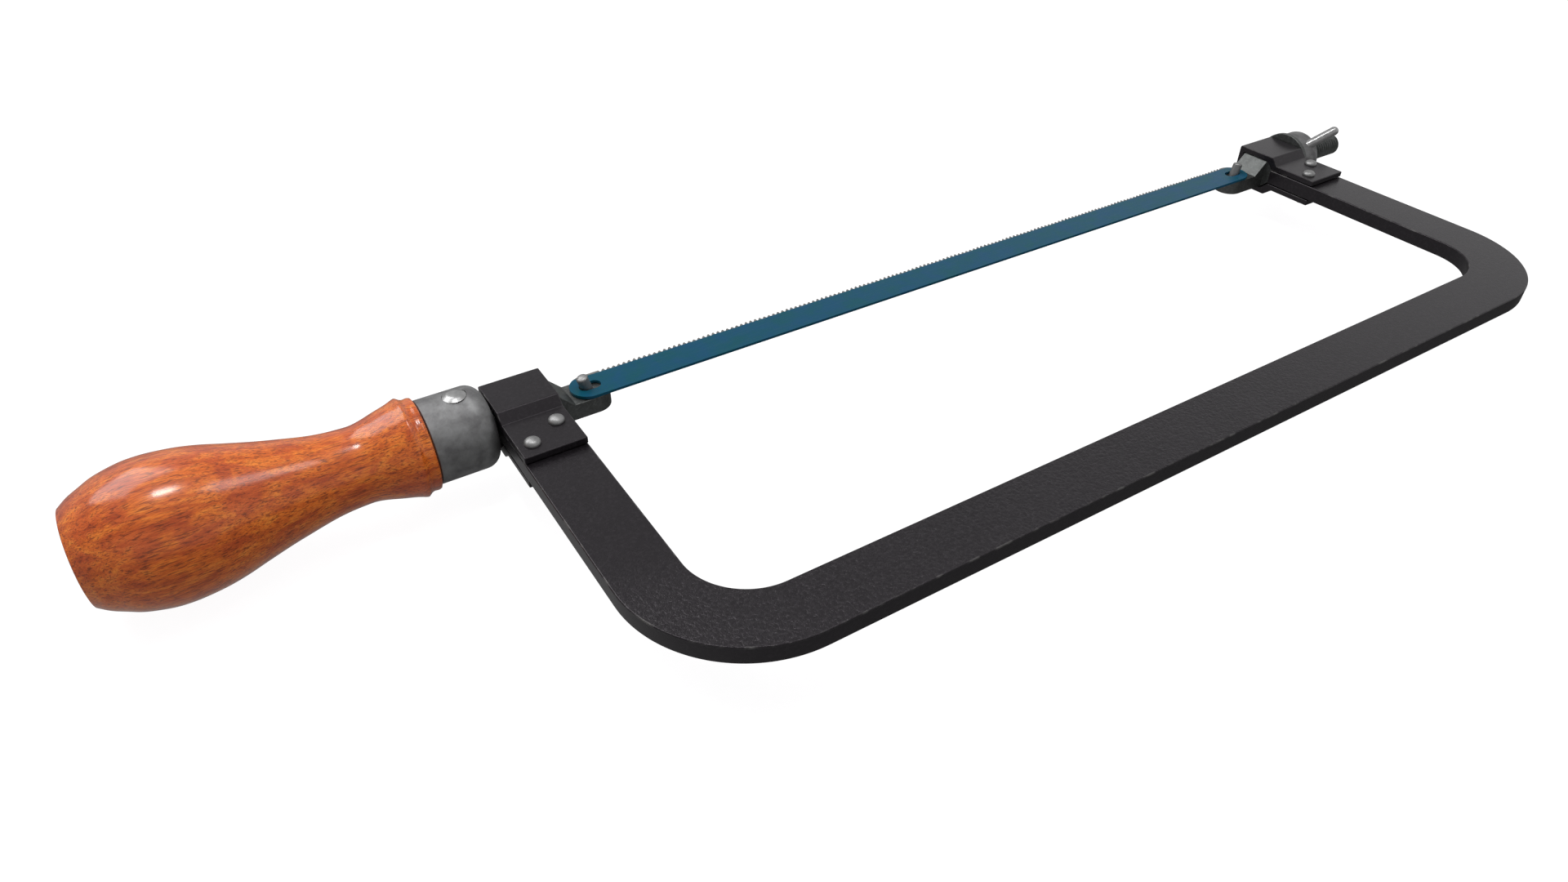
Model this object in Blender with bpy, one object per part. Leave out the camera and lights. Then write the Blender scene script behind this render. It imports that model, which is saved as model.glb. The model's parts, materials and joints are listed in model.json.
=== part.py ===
"""Hacksaw with a bent flat-bar frame, a turned wooden handle and a wing-nut blade tensioner.

The saw lies flat. +X runs from the handle to the wing nut, +Y is the way the teeth point,
and +Z is the normal of the frame. The pull line, which the handle, the sockets, the blade pins
and the stud share, is the line y = 0, z = 0 of the design. One empty carries the design to the
part's own frame, whose origin is the middle of the underside of its box.
"""

import math

import bmesh
import bpy
from mathutils import Vector

MM = 0.001

# Clearance between neighbouring pieces
GAP = 0.3 * MM

# Blade: a 300 mm blade, measured between its pins, with 14 teeth to the inch
PIN_SPAN = 299.8 * MM
BLADE_LENGTH = 310.6 * MM
BLADE_BACK_Y = -5.9 * MM
BLADE_TIP_Y = 6.45 * MM
BLADE_THICKNESS = 0.9 * MM
TOOTH_PITCH = 25.4 / 14 * MM
TOOTH_HEIGHT = 1.05 * MM
TOOTH_HOOK = 0.1  # how far a tip leans past its gullet, as a part of the pitch
TOOTH_BACK = 0.62  # where a tooth's back bends down, as a part of the pitch
TOOTH_BACK_HEIGHT = 0.72  # how high that bend is, as a part of the tooth height
END_BELOW_TIPS = 0.15 * MM
TOOTH_COUNT = 161
TEETH_REAR_X = -143.1 * MM  # the last gullet before the plain rear end
BLADE_HOLE_LENGTH = 7.1 * MM
BLADE_HOLE_WIDTH = 4.3 * MM

# Blade pins, which lean away from the middle of the blade
PIN_RADIUS = 1.85 * MM
PIN_LEAN = math.radians(15.3)
PIN_ABOVE_TAB = 5.4 * MM
PIN_DOME = 0.8 * MM

# Frame bar
BAR_WIDTH = 19.1 * MM
BAR_THICKNESS = 5.7 * MM
ARM_OUTER_X = 181.0 * MM
SPINE_INNER_Y = -105.2 * MM
INNER_CORNER_RADIUS = 19.2 * MM
ARM_END_Y = -8.95 * MM
BAR_EDGE = 0.35 * MM

# Folded straps that make the two square sockets
SHEET = 2.2 * MM
SOCKET_HALF = 5.95 * MM
STRAP_TAIL_Y = -29.0 * MM
STRAP_SLOPE_TOP_Y = -8.2 * MM
STRAP_SLOPE_FOOT_Y = -11.2 * MM
STRAP_INNER_FOOT_Y = -8.9 * MM
STRAP_EDGE = 0.3 * MM

# Dome rivets through strap, arm and strap
RIVET_RADIUS = 1.7 * MM
RIVET_HEAD_RADIUS = 2.45 * MM
RIVET_HEAD_HEIGHT = 1.5 * MM
RIVET_STEP_X = 4.95 * MM
RIVET_UPPER_Y = -17.1 * MM
RIVET_LOWER_Y = -23.5 * MM

# Blade holders: a block in the socket, and a half-height tab with a sloped shoulder
HOLDER_HALF = SOCKET_HALF - GAP
WEDGE_Y = -8.6 * MM
WEDGE_HALF = 2.75 * MM
TAB_TOP_Z = 0.0
TAB_END_X = 142.85 * MM
FRONT_SHOULDER_SHIFT = 0.75 * MM
FRONT_BLOCK_END_X = 175.0 * MM
REAR_BLOCK_END_X = 180.4 * MM

# Threaded stud, washer and wing nut
STUD_RADIUS = 4.6 * MM
STUD_END_X = 216.3 * MM
STUD_CHAMFER = 0.7 * MM
WASHER_RADIUS = 11.35 * MM
WASHER_THICKNESS = 1.8 * MM
WASHER_EDGE = 0.25 * MM
HUB_RADIUS = 10.2 * MM
HUB_LENGTH = 9.0 * MM
HUB_EDGE = 0.7 * MM
WING_RADIUS = 1.9 * MM
WING_LEAN = math.radians(47.5)
WING_TURN = math.radians(51.7)
WING_ROOT_X = 190.0 * MM
WING_DEPTH = 3.0 * MM
WING_REACH = 9.85 * MM

# Ferrule, tang and the rivet through both
FERRULE_RADIUS = 12.85 * MM
FERRULE_WALL = 1.4 * MM
FERRULE_FRONT_X = -181.55 * MM
FERRULE_BACK_X = -200.5 * MM
FERRULE_ROUND = 5.0 * MM
TANG_FRONT_HALF = 3.7 * MM
TANG_END_HALF = 2.0 * MM
TANG_END_X = -252.0 * MM
TANG_OVERLAP = 4.0 * MM
TANG_RIVET_X = -189.9 * MM
TANG_RIVET_SEAT = 12.4 * MM
TANG_RIVET_RADIUS = 1.6 * MM
TANG_RIVET_HEAD_RADIUS = 3.45 * MM
TANG_RIVET_HEAD_HEIGHT = 1.1 * MM
BURR_RADIUS = 3.1 * MM
BURR_THICKNESS = 0.8 * MM
BURR_EDGE = 0.1 * MM

# Handle, as (x, radius) along its turned outline from the butt to the lip at the ferrule
HANDLE_BUTT_X = -291.0 * MM
HANDLE_BUTT_RADIUS = 12.6 * MM
HANDLE_BODY = (
    (-290.7, 13.7),
    (-288.0, 15.6),
    (-284.8, 17.15),
    (-281.6, 18.6),
    (-278.0, 19.6),
    (-274.0, 20.35),
    (-270.0, 20.55),
    (-266.0, 20.35),
    (-261.0, 19.75),
    (-256.0, 18.7),
    (-250.0, 17.0),
    (-243.0, 15.1),
    (-237.0, 13.7),
    (-231.0, 12.4),
    (-226.5, 11.75),
    (-222.0, 11.45),
    (-218.8, 11.45),
    (-215.8, 12.0),
    (-212.0, 13.05),
    (-208.0, 14.1),
    (-205.4, 15.0),
)
HANDLE_NECK = (
    (-204.7, 14.8),
    (-204.0, 14.3),
    (-203.1, 14.0),
    (-201.9, 14.1),
    (-201.1, 13.9),
)
HANDLE_FRONT_X = -200.8 * MM
SPIGOT_FRONT_X = -184.0 * MM
OUTLINE_STEPS = 2

# Facets round each kind of turned piece
SEGMENTS_HANDLE = 48
SEGMENTS_RING = 48
SEGMENTS_STUD = 32
SEGMENTS_SMALL = 24
CORNER_STEPS = 12
HOLE_STEPS = 10
SHARP_ANGLE = math.radians(35)
BEVEL_ANGLE = math.radians(40)

BAR_HALF = BAR_THICKNESS / 2
ARM_INNER_X = ARM_OUTER_X - BAR_WIDTH
STRAP_TOP_Z = BAR_HALF + GAP + SHEET
HANDLE_RADIUS = max(radius for _, radius in HANDLE_BODY) * MM
SPINE_OUTER_Y = SPINE_INNER_Y - BAR_WIDTH

# The part's frame: the middle of the underside of its box
ORIGIN = Vector((
    (HANDLE_BUTT_X + STUD_END_X) / 2,
    (SPINE_OUTER_Y + HANDLE_RADIUS) / 2,
    -HANDLE_RADIUS,
))

# Where each empty stands on the design's own axes
DESIGN_PLACE = {}


def clear_scene():
    for obj in list(bpy.data.objects):
        bpy.data.objects.remove(obj)


def make_material(name, colour, roughness, metallic):
    material = bpy.data.materials.new(name)
    material.use_nodes = True
    shader = material.node_tree.nodes["Principled BSDF"]
    shader.inputs["Base Color"].default_value = (*colour, 1.0)
    shader.inputs["Roughness"].default_value = roughness
    shader.inputs["Metallic"].default_value = metallic
    return material


def make_empty(name, location, parent=None):
    """A coordinate frame, at a place given on the design's own axes."""
    empty = bpy.data.objects.new(name, None)
    bpy.context.scene.collection.objects.link(empty)
    if parent is None:
        empty.location = location
    else:
        empty.parent = parent
        empty.location = Vector(location) - DESIGN_PLACE[parent.name]
    DESIGN_PLACE[name] = Vector(location)
    return empty


def make_object(name, bm, parent, place=(0, 0, 0), turn=None, material=None):
    """One named object from a bmesh that is modelled around its own origin."""
    bmesh.ops.recalc_face_normals(bm, faces=bm.faces)
    mesh = bpy.data.meshes.new(name)
    bm.to_mesh(mesh)
    bm.free()
    mesh.shade_smooth()
    mesh.set_sharp_from_angle(angle=SHARP_ANGLE)
    obj = bpy.data.objects.new(name, mesh)
    bpy.context.scene.collection.objects.link(obj)
    obj.parent = parent
    obj.location = Vector(place) - DESIGN_PLACE[parent.name]
    if turn is not None:
        obj.rotation_euler = turn.to_euler()
    if material is not None:
        mesh.materials.append(material)
    return obj


def make_helper(name, bm, parent, place=(0, 0, 0), turn=None):
    """A hidden solid that a Boolean uses."""
    helper = make_object(name, bm, parent, place, turn)
    helper.hide_render = True
    helper.display_type = "WIRE"
    return helper


def combine(obj, helper, operation="DIFFERENCE"):
    modifier = obj.modifiers.new(helper.name, "BOOLEAN")
    modifier.operation = operation
    modifier.solver = "EXACT"
    modifier.object = helper


def soften_edges(obj, width, segments=1):
    modifier = obj.modifiers.new("edges", "BEVEL")
    modifier.width = width
    modifier.segments = segments
    modifier.limit_method = "ANGLE"
    modifier.angle_limit = BEVEL_ANGLE


def prism(outline, low, high, to_space):
    """Extrudes a closed outline of (u, v) points from low to high along the third axis.

    to_space turns (u, v, w) into a point of the object.
    """
    bm = bmesh.new()
    face = bm.faces.new([bm.verts.new(to_space(u, v, low)) for u, v in outline])
    grown = bmesh.ops.extrude_face_region(bm, geom=[face])
    moved = [item for item in grown["geom"] if isinstance(item, bmesh.types.BMVert)]
    shift = Vector(to_space(0, 0, high)) - Vector(to_space(0, 0, low))
    bmesh.ops.translate(bm, verts=moved, vec=shift)
    return bm


def along_x(u, v, w):
    return (w, u, v)


def along_z(u, v, w):
    return (u, v, w)


def turned(outline, segments, closed=False):
    """Spins an outline of (x, radius) points about the x axis.

    An open outline starts and ends on the axis. A closed one goes round a ring's section.
    """
    bm = bmesh.new()
    verts = [bm.verts.new((x, 0, radius)) for x, radius in outline]
    pairs = list(zip(verts, verts[1:]))
    if closed:
        pairs.append((verts[-1], verts[0]))
    edges = [bm.edges.new(pair) for pair in pairs]
    bmesh.ops.spin(
        bm,
        geom=verts + edges,
        cent=(0, 0, 0),
        axis=(1, 0, 0),
        angle=math.tau,
        steps=segments,
        use_merge=True,
    )
    bmesh.ops.remove_doubles(bm, verts=bm.verts, dist=1e-6)
    return bm


def arc(centre, radius, start, end, steps):
    """Points on a circle from one angle to another, in degrees, both ends included."""
    angles = [math.radians(start + (end - start) * i / steps) for i in range(steps + 1)]
    return [(centre[0] + radius * math.cos(a), centre[1] + radius * math.sin(a)) for a in angles]


def dome(base_x, height, radius, steps):
    """(x, radius) points of a low dome, from its rim to its top on the axis."""
    angles = [math.pi / 2 * i / steps for i in range(steps + 1)]
    return [(base_x + height * math.sin(a), radius * math.cos(a)) for a in angles]


def pointing(direction):
    """The rotation that takes the x axis of a turned piece to a direction."""
    return Vector(direction).to_track_quat("X", "Z")


def smooth_outline(points, steps):
    """A Catmull-Rom curve through (x, radius) points."""
    ends = [points[0], *points, points[-1]]
    curve = []
    for before, start, end, after in zip(ends, ends[1:], ends[2:], ends[3:]):
        for i in range(steps):
            t = i / steps
            curve.append(tuple(
                0.5 * (2 * b + (c - a) * t + (2 * a - 5 * b + 4 * c - d) * t**2
                       + (3 * b - a - 3 * c + d) * t**3)
                for a, b, c, d in zip(before, start, end, after)
            ))
    return curve + [points[-1]]


def round_cutter(name, radius, start, end, parent):
    """A straight round drill between two points of the design."""
    axis = Vector(end) - Vector(start)
    outline = [(0, 0), (0, radius), (axis.length, radius), (axis.length, 0)]
    return make_helper(name, turned(outline, SEGMENTS_SMALL), parent, start, pointing(axis))


def strap_rivet_places():
    """(strap, row, x, y) of the four strap rivets: both straps carry the same pair."""
    for strap, side in (("rear", -1), ("front", 1)):
        middle = side * (ARM_OUTER_X - BAR_WIDTH / 2)
        yield strap, "upper", middle + RIVET_STEP_X, RIVET_UPPER_Y
        yield strap, "lower", middle - RIVET_STEP_X, RIVET_LOWER_Y


def make_frame_bar(root, paint):
    outer_radius = INNER_CORNER_RADIUS + BAR_WIDTH
    centre_x = ARM_INNER_X - INNER_CORNER_RADIUS
    centre_y = SPINE_INNER_Y + INNER_CORNER_RADIUS
    outline = [(-ARM_OUTER_X, ARM_END_Y)]
    outline += arc((-centre_x, centre_y), outer_radius, 180, 270, CORNER_STEPS)
    outline += arc((centre_x, centre_y), outer_radius, 270, 360, CORNER_STEPS)
    outline += [(ARM_OUTER_X, ARM_END_Y), (ARM_INNER_X, ARM_END_Y)]
    outline += arc((centre_x, centre_y), INNER_CORNER_RADIUS, 360, 270, CORNER_STEPS)
    outline += arc((-centre_x, centre_y), INNER_CORNER_RADIUS, 270, 180, CORNER_STEPS)
    outline += [(-ARM_INNER_X, ARM_END_Y)]
    bar = make_object("frame_bar", prism(outline, -BAR_HALF, BAR_HALF, along_z), root, material=paint)
    soften_edges(bar, BAR_EDGE)
    return bar


def make_strap(name, side, root, paint):
    """The folded sheet: a square loop, two slopes, and two tails that hold the arm between them."""
    outer = SOCKET_HALF + SHEET
    tail = BAR_HALF + GAP
    outer_half = [
        (STRAP_TAIL_Y, STRAP_TOP_Z),
        (STRAP_SLOPE_FOOT_Y, STRAP_TOP_Z),
        (STRAP_SLOPE_TOP_Y, outer),
        (outer, outer),
    ]
    inner_half = [
        (SOCKET_HALF, SOCKET_HALF),
        (-SOCKET_HALF, SOCKET_HALF),
        (STRAP_INNER_FOOT_Y, tail),
        (STRAP_TAIL_Y, tail),
    ]
    outline = outer_half + [(y, -z) for y, z in reversed(outer_half)]
    outline += [(y, -z) for y, z in reversed(inner_half)] + inner_half
    ends = sorted((side * ARM_INNER_X, side * ARM_OUTER_X))
    strap = make_object(name, prism(outline, *ends, along_x), root, material=paint)
    soften_edges(strap, STRAP_EDGE)
    return strap


def make_strap_rivets(root, drilled, zinc):
    """Each rivet has the same low dome on both faces, and its hole goes through strap and arm."""
    base = STRAP_TOP_Z + GAP
    upper = dome(base, RIVET_HEAD_HEIGHT, RIVET_HEAD_RADIUS, 4)
    right = [(base, RIVET_RADIUS)] + upper
    outline = [(-x, radius) for x, radius in reversed(right)] + right
    for strap, row, x, y in strap_rivet_places():
        make_object(f"{strap}_strap_rivet_{row}", turned(outline, SEGMENTS_SMALL), root, (x, y, 0),
                    pointing((0, 0, 1)), zinc)
        reach = 2 * STRAP_TOP_Z
        drill = round_cutter(f"drill_{strap}_{row}", RIVET_RADIUS + GAP, (x, y, -reach), (x, y, reach), root)
        for obj in (drilled[strap], drilled["bar"]):
            combine(obj, drill)


def holder_block(shoulder_x, block_end_x):
    """Tab, 45 degree shoulder and socket block in one piece, drawn for the +x end of the saw."""
    half = HOLDER_HALF
    slope_foot_x = shoulder_x - (half - TAB_TOP_Z)
    side = [
        (TAB_END_X, -half),
        (TAB_END_X, TAB_TOP_Z),
        (slope_foot_x, TAB_TOP_Z),
        (shoulder_x, half),
        (shoulder_x, -half),
    ]
    bm = bmesh.new()
    near = [bm.verts.new((x, -half, z)) for x, z in side]
    far = [bm.verts.new((x, half, z)) for x, z in side]
    bm.faces.new(near)
    bm.faces.new(far)
    for i, after in ((0, 1), (1, 2), (2, 3), (4, 0)):
        bm.faces.new((near[i], near[after], far[after], far[i]))
    wedge = [bm.verts.new((shoulder_x, WEDGE_Y, z)) for z in (WEDGE_HALF, -WEDGE_HALF)]
    ring = [near[3], far[3], far[4], near[4], wedge[1], wedge[0]]
    bm.faces.new((near[3], near[4], wedge[1], wedge[0]))
    back = [bm.verts.new((block_end_x, vert.co.y, vert.co.z)) for vert in ring]
    for i, vert in enumerate(ring):
        after = (i + 1) % len(ring)
        bm.faces.new((vert, ring[after], back[after], back[i]))
    bm.faces.new(back)
    bm.edges.ensure_lookup_table()
    tip_edges = [edge for edge in (bm.edges.get(near[:2]), bm.edges.get(far[:2])) if edge]
    bmesh.ops.bevel(bm, geom=tip_edges, offset=half * 0.999, segments=6, affect="EDGES", profile=0.5)
    return bm


def drill_for_pin(holder, name, side, parent):
    """The leaning hole of a blade pin, through the tab."""
    foot = Vector((side * PIN_SPAN / 2, 0, 0))
    lean = Vector((side * math.sin(PIN_LEAN), 0, math.cos(PIN_LEAN)))
    reach = 2 * HOLDER_HALF
    combine(holder, round_cutter(name, PIN_RADIUS + GAP, foot - reach * lean, foot + reach * lean, parent))


def make_pin(name, side, parent, zinc):
    top = PIN_ABOVE_TAB / math.cos(PIN_LEAN)
    bottom = -(HOLDER_HALF - GAP) / math.cos(PIN_LEAN)
    outline = [(bottom, 0), (bottom, PIN_RADIUS)] + dome(top - PIN_DOME, PIN_DOME, PIN_RADIUS, 4)
    lean = (side * math.sin(PIN_LEAN), 0, math.cos(PIN_LEAN))
    place = (side * PIN_SPAN / 2, 0, 0)
    make_object(name, turned(outline, SEGMENTS_SMALL), parent, place, pointing(lean), zinc)


def make_rear_holder(root, steel, zinc):
    bm = holder_block(ARM_INNER_X, REAR_BLOCK_END_X)
    bmesh.ops.scale(bm, vec=(-1, 1, 1), verts=bm.verts)
    holder = make_object("rear_blade_holder", bm, root, material=steel)
    tang = make_helper("tang_core", tang_solid(0), root)
    combine(holder, tang, "UNION")
    drill_for_pin(holder, "drill_rear_pin", -1, root)
    make_pin("rear_blade_pin", -1, root, zinc)
    return holder


def tang_solid(extra):
    """The square tapered tang, or with extra the hole it needs."""
    start = -REAR_BLOCK_END_X + TANG_OVERLAP
    bm = bmesh.new()
    rings = []
    for x, half in ((start, TANG_FRONT_HALF + extra), (TANG_END_X - extra, TANG_END_HALF + extra)):
        corners = ((-half, -half), (half, -half), (half, half), (-half, half))
        rings.append([bm.verts.new((x, y, z)) for y, z in corners])
    for ring in rings:
        bm.faces.new(ring)
    for i in range(4):
        after = (i + 1) % 4
        bm.faces.new((rings[0][i], rings[0][after], rings[1][after], rings[1][i]))
    return bm


def make_front_holder(slide, steel, zinc):
    shoulder_x = ARM_INNER_X + FRONT_SHOULDER_SHIFT
    bm = holder_block(shoulder_x, FRONT_BLOCK_END_X)
    holder = make_object("front_blade_holder", bm, slide, material=steel)
    start = FRONT_BLOCK_END_X - TANG_OVERLAP
    outline = [(start, 0), (start, STUD_RADIUS)]
    outline += [(STUD_END_X - STUD_CHAMFER, STUD_RADIUS), (STUD_END_X, STUD_RADIUS - STUD_CHAMFER)]
    outline += [(STUD_END_X, 0)]
    combine(holder, make_helper("stud_core", turned(outline, SEGMENTS_STUD), slide), "UNION")
    drill_for_pin(holder, "drill_front_pin", 1, slide)
    make_pin("front_blade_pin", 1, slide, zinc)


def blade_outline():
    """The blade's edge: two round ends, a straight back and a row of forward-hooked teeth."""
    half = BLADE_LENGTH / 2
    gullet_y = BLADE_TIP_Y - TOOTH_HEIGHT
    radius = (BLADE_TIP_Y - END_BELOW_TIPS - BLADE_BACK_Y) / 2
    middle_y = BLADE_BACK_Y + radius
    outline = arc((half - radius, middle_y), radius, -90, 90, CORNER_STEPS)
    first = TEETH_REAR_X + TOOTH_COUNT * TOOTH_PITCH
    outline.append((first, middle_y + radius))
    for i in range(TOOTH_COUNT):
        tip = first - i * TOOTH_PITCH
        outline.append((tip, gullet_y))
        outline.append((tip - TOOTH_HOOK * TOOTH_PITCH, BLADE_TIP_Y))
        outline.append((tip - TOOTH_BACK * TOOTH_PITCH, gullet_y + TOOTH_BACK_HEIGHT * TOOTH_HEIGHT))
    outline.append((TEETH_REAR_X, gullet_y))
    outline.append((TEETH_REAR_X - TOOTH_HOOK * TOOTH_PITCH, middle_y + radius))
    outline += arc((radius - half, middle_y), radius, 90, 270, CORNER_STEPS)
    return outline


def make_blade(slide, blue):
    low = TAB_TOP_Z + GAP
    bm = prism(blade_outline(), low, low + BLADE_THICKNESS, along_z)
    blade = make_object("blade", bm, slide, material=blue)
    end_radius = BLADE_HOLE_WIDTH / 2
    lean_reach = math.tan(PIN_LEAN) * (low + BLADE_THICKNESS) + PIN_RADIUS / math.cos(PIN_LEAN)
    outer_x = PIN_SPAN / 2 + lean_reach + GAP
    inner_x = outer_x - BLADE_HOLE_LENGTH
    for name, side in (("slot_rear", -1), ("slot_front", 1)):
        outline = arc((outer_x - end_radius, 0), end_radius, -90, 90, HOLE_STEPS)
        outline += arc((inner_x + end_radius, 0), end_radius, 90, 270, HOLE_STEPS)
        outline = [(side * x, y) for x, y in outline]
        reach = 3 * BLADE_THICKNESS
        combine(blade, make_helper(name, prism(outline, -reach, reach + low, along_z), slide))


def ring_outline(start, end, inner, outer, edge):
    """A ring's section, as (x, radius), with its outer corners cut back."""
    return [
        (start, inner),
        (start, outer - edge),
        (start + edge, outer),
        (end - edge, outer),
        (end, outer - edge),
        (end, inner),
    ]


def make_washer(root, steel):
    outline = ring_outline(0, WASHER_THICKNESS, STUD_RADIUS + GAP, WASHER_RADIUS, WASHER_EDGE)
    make_object("tension_washer", turned(outline, SEGMENTS_RING, closed=True), root,
                (ARM_OUTER_X + GAP, 0, 0), material=steel)


def make_wing_nut(hinge, steel, bright):
    """A round hub with two forward-leaning rods let into its side, half a turn apart."""
    start = ARM_OUTER_X + WASHER_THICKNESS + 2 * GAP
    outline = ring_outline(0, HUB_LENGTH, STUD_RADIUS + GAP, HUB_RADIUS, HUB_EDGE)
    hub = make_object("wing_nut_hub", turned(outline, SEGMENTS_RING, closed=True), hinge, (start, 0, 0),
                      material=steel)
    rod = [(0, 0), (0, WING_RADIUS)] + dome(WING_DEPTH + WING_REACH, WING_RADIUS, WING_RADIUS, 5)
    socket_end = 3 * WING_DEPTH
    socket = [(-GAP, 0), (-GAP, WING_RADIUS + GAP), (socket_end, WING_RADIUS + GAP), (socket_end, 0)]
    for name, side in (("upper", 1), ("lower", -1)):
        radial = Vector((0, -side * math.cos(WING_TURN), side * math.sin(WING_TURN)))
        direction = radial * math.cos(WING_LEAN) + Vector((math.sin(WING_LEAN), 0, 0))
        foot = Vector((WING_ROOT_X, 0, 0)) + radial * HUB_RADIUS - direction * WING_DEPTH
        turn = pointing(direction)
        make_object(f"wing_nut_rod_{name}", turned(rod, SEGMENTS_SMALL), hinge, foot, turn, bright)
        combine(hub, make_helper(f"drill_wing_{name}", turned(socket, SEGMENTS_SMALL), hinge, foot, turn))


def make_ferrule(root, steel):
    """A drawn cup with a round front edge and a hole for the tang."""
    inner = FERRULE_RADIUS - FERRULE_WALL
    hole = TANG_FRONT_HALF * math.sqrt(2) + GAP
    corner = (FERRULE_FRONT_X - FERRULE_ROUND, FERRULE_RADIUS - FERRULE_ROUND)
    outline = [(FERRULE_BACK_X, inner), (FERRULE_BACK_X, FERRULE_RADIUS)]
    outline += arc(corner, FERRULE_ROUND, 90, 0, 6)
    outline += [(FERRULE_FRONT_X, hole), (FERRULE_FRONT_X - FERRULE_WALL, hole)]
    outline += arc(corner, FERRULE_ROUND - FERRULE_WALL, 0, 90, 4)
    return make_object("ferrule", turned(outline, SEGMENTS_RING, closed=True), root, material=steel)


def make_handle(root, wood):
    """A turned handle: swelling grip, waist, collar, lip, and a spigot inside the ferrule."""
    body = [(x * MM, radius * MM) for x, radius in smooth_outline(HANDLE_BODY, OUTLINE_STEPS)]
    neck = [(x * MM, radius * MM) for x, radius in HANDLE_NECK]
    spigot = FERRULE_RADIUS - FERRULE_WALL - GAP
    chamfer = FERRULE_ROUND - FERRULE_WALL
    outline = [(HANDLE_BUTT_X, 0), (HANDLE_BUTT_X, HANDLE_BUTT_RADIUS)] + body + neck
    outline += [
        (HANDLE_FRONT_X, spigot),
        (SPIGOT_FRONT_X - chamfer, spigot),
        (SPIGOT_FRONT_X, spigot - chamfer),
        (SPIGOT_FRONT_X, 0),
    ]
    handle = make_object("handle", turned(outline, SEGMENTS_HANDLE), root, material=wood)
    combine(handle, make_helper("tang_hole", tang_solid(GAP), root))
    return handle


def make_tang_rivet(root, ferrule, others, zinc):
    """A rivet across ferrule, wood and tang: a dome on top, and a burr under its closed end.

    The dome and the burr sit in flat spot faces cut into the ferrule.
    """
    seat = TANG_RIVET_SEAT
    burr_low = seat + BURR_THICKNESS
    head = dome(seat, TANG_RIVET_HEAD_HEIGHT, TANG_RIVET_HEAD_RADIUS, 5)
    tail = dome(burr_low + GAP, TANG_RIVET_HEAD_HEIGHT, BURR_RADIUS - GAP, 4)
    outline = [(-x, radius) for x, radius in reversed(tail)]
    outline += [(-burr_low - GAP, TANG_RIVET_RADIUS), (seat, TANG_RIVET_RADIUS)] + head
    place = (TANG_RIVET_X, 0, 0)
    up = pointing((0, 0, 1))
    make_object("tang_rivet", turned(outline, SEGMENTS_SMALL), root, place, up, zinc)
    ring = ring_outline(-burr_low, -seat, TANG_RIVET_RADIUS + GAP, BURR_RADIUS, BURR_EDGE)
    make_object("tang_rivet_burr", turned(ring, SEGMENTS_SMALL, closed=True), root, place, up, zinc)
    reach = 2 * FERRULE_RADIUS
    drill = round_cutter("drill_tang", TANG_RIVET_RADIUS + GAP, (TANG_RIVET_X, 0, -reach),
                         (TANG_RIVET_X, 0, reach), root)
    for obj in (ferrule, *others):
        combine(obj, drill)
    for name, side in (("spot_face_upper", 1), ("spot_face_lower", -1)):
        floor = (TANG_RIVET_X, 0, side * (seat - GAP))
        end = (TANG_RIVET_X, 0, side * reach)
        combine(ferrule, round_cutter(name, TANG_RIVET_HEAD_RADIUS + GAP, floor, end, root))


def main():
    clear_scene()
    paint = make_material("black_paint", (0.035, 0.033, 0.035), 0.45, 0.0)
    dark_steel = make_material("dark_steel", (0.05, 0.05, 0.048), 0.5, 0.7)
    steel = make_material("steel", (0.2, 0.2, 0.2), 0.42, 0.9)
    zinc = make_material("zinc", (0.45, 0.45, 0.45), 0.35, 0.9)
    blue = make_material("blade_blue", (0.015, 0.1, 0.19), 0.4, 0.3)
    wood = make_material("varnished_wood", (0.5, 0.12, 0.03), 0.2, 0.0)

    root = make_empty("saw", (0, 0, 0))
    root.location = -ORIGIN
    blade_slide = make_empty("blade_slide", (0, 0, 0), root)
    holder_slide = make_empty("holder_slide", (0, 0, 0), root)
    nut_hinge = make_empty("nut_hinge", (ARM_OUTER_X, 0, 0), root)

    drilled = {
        "bar": make_frame_bar(root, paint),
        "rear": make_strap("rear_strap", -1, root, paint),
        "front": make_strap("front_strap", 1, root, paint),
    }
    make_strap_rivets(root, drilled, zinc)
    rear_holder = make_rear_holder(root, dark_steel, zinc)
    make_front_holder(holder_slide, dark_steel, zinc)
    make_blade(blade_slide, blue)
    make_washer(root, steel)
    make_wing_nut(nut_hinge, steel, zinc)
    ferrule = make_ferrule(root, steel)
    handle = make_handle(root, wood)
    make_tang_rivet(root, ferrule, (handle, rear_holder), zinc)


main()
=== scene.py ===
"""Looks of the hacksaw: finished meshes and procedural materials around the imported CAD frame.

Lengths are millimetres on the design's own axes, unless a name says otherwise: x = 0 is the middle
of the spine, and y = 0, z = 0 is the pull line, which the handle, the sockets, the blade pins and
the stud share. +X runs from the handle to the wing nut, +Y is the way the teeth point, +Z is up.
"""

import json
import math

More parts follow.
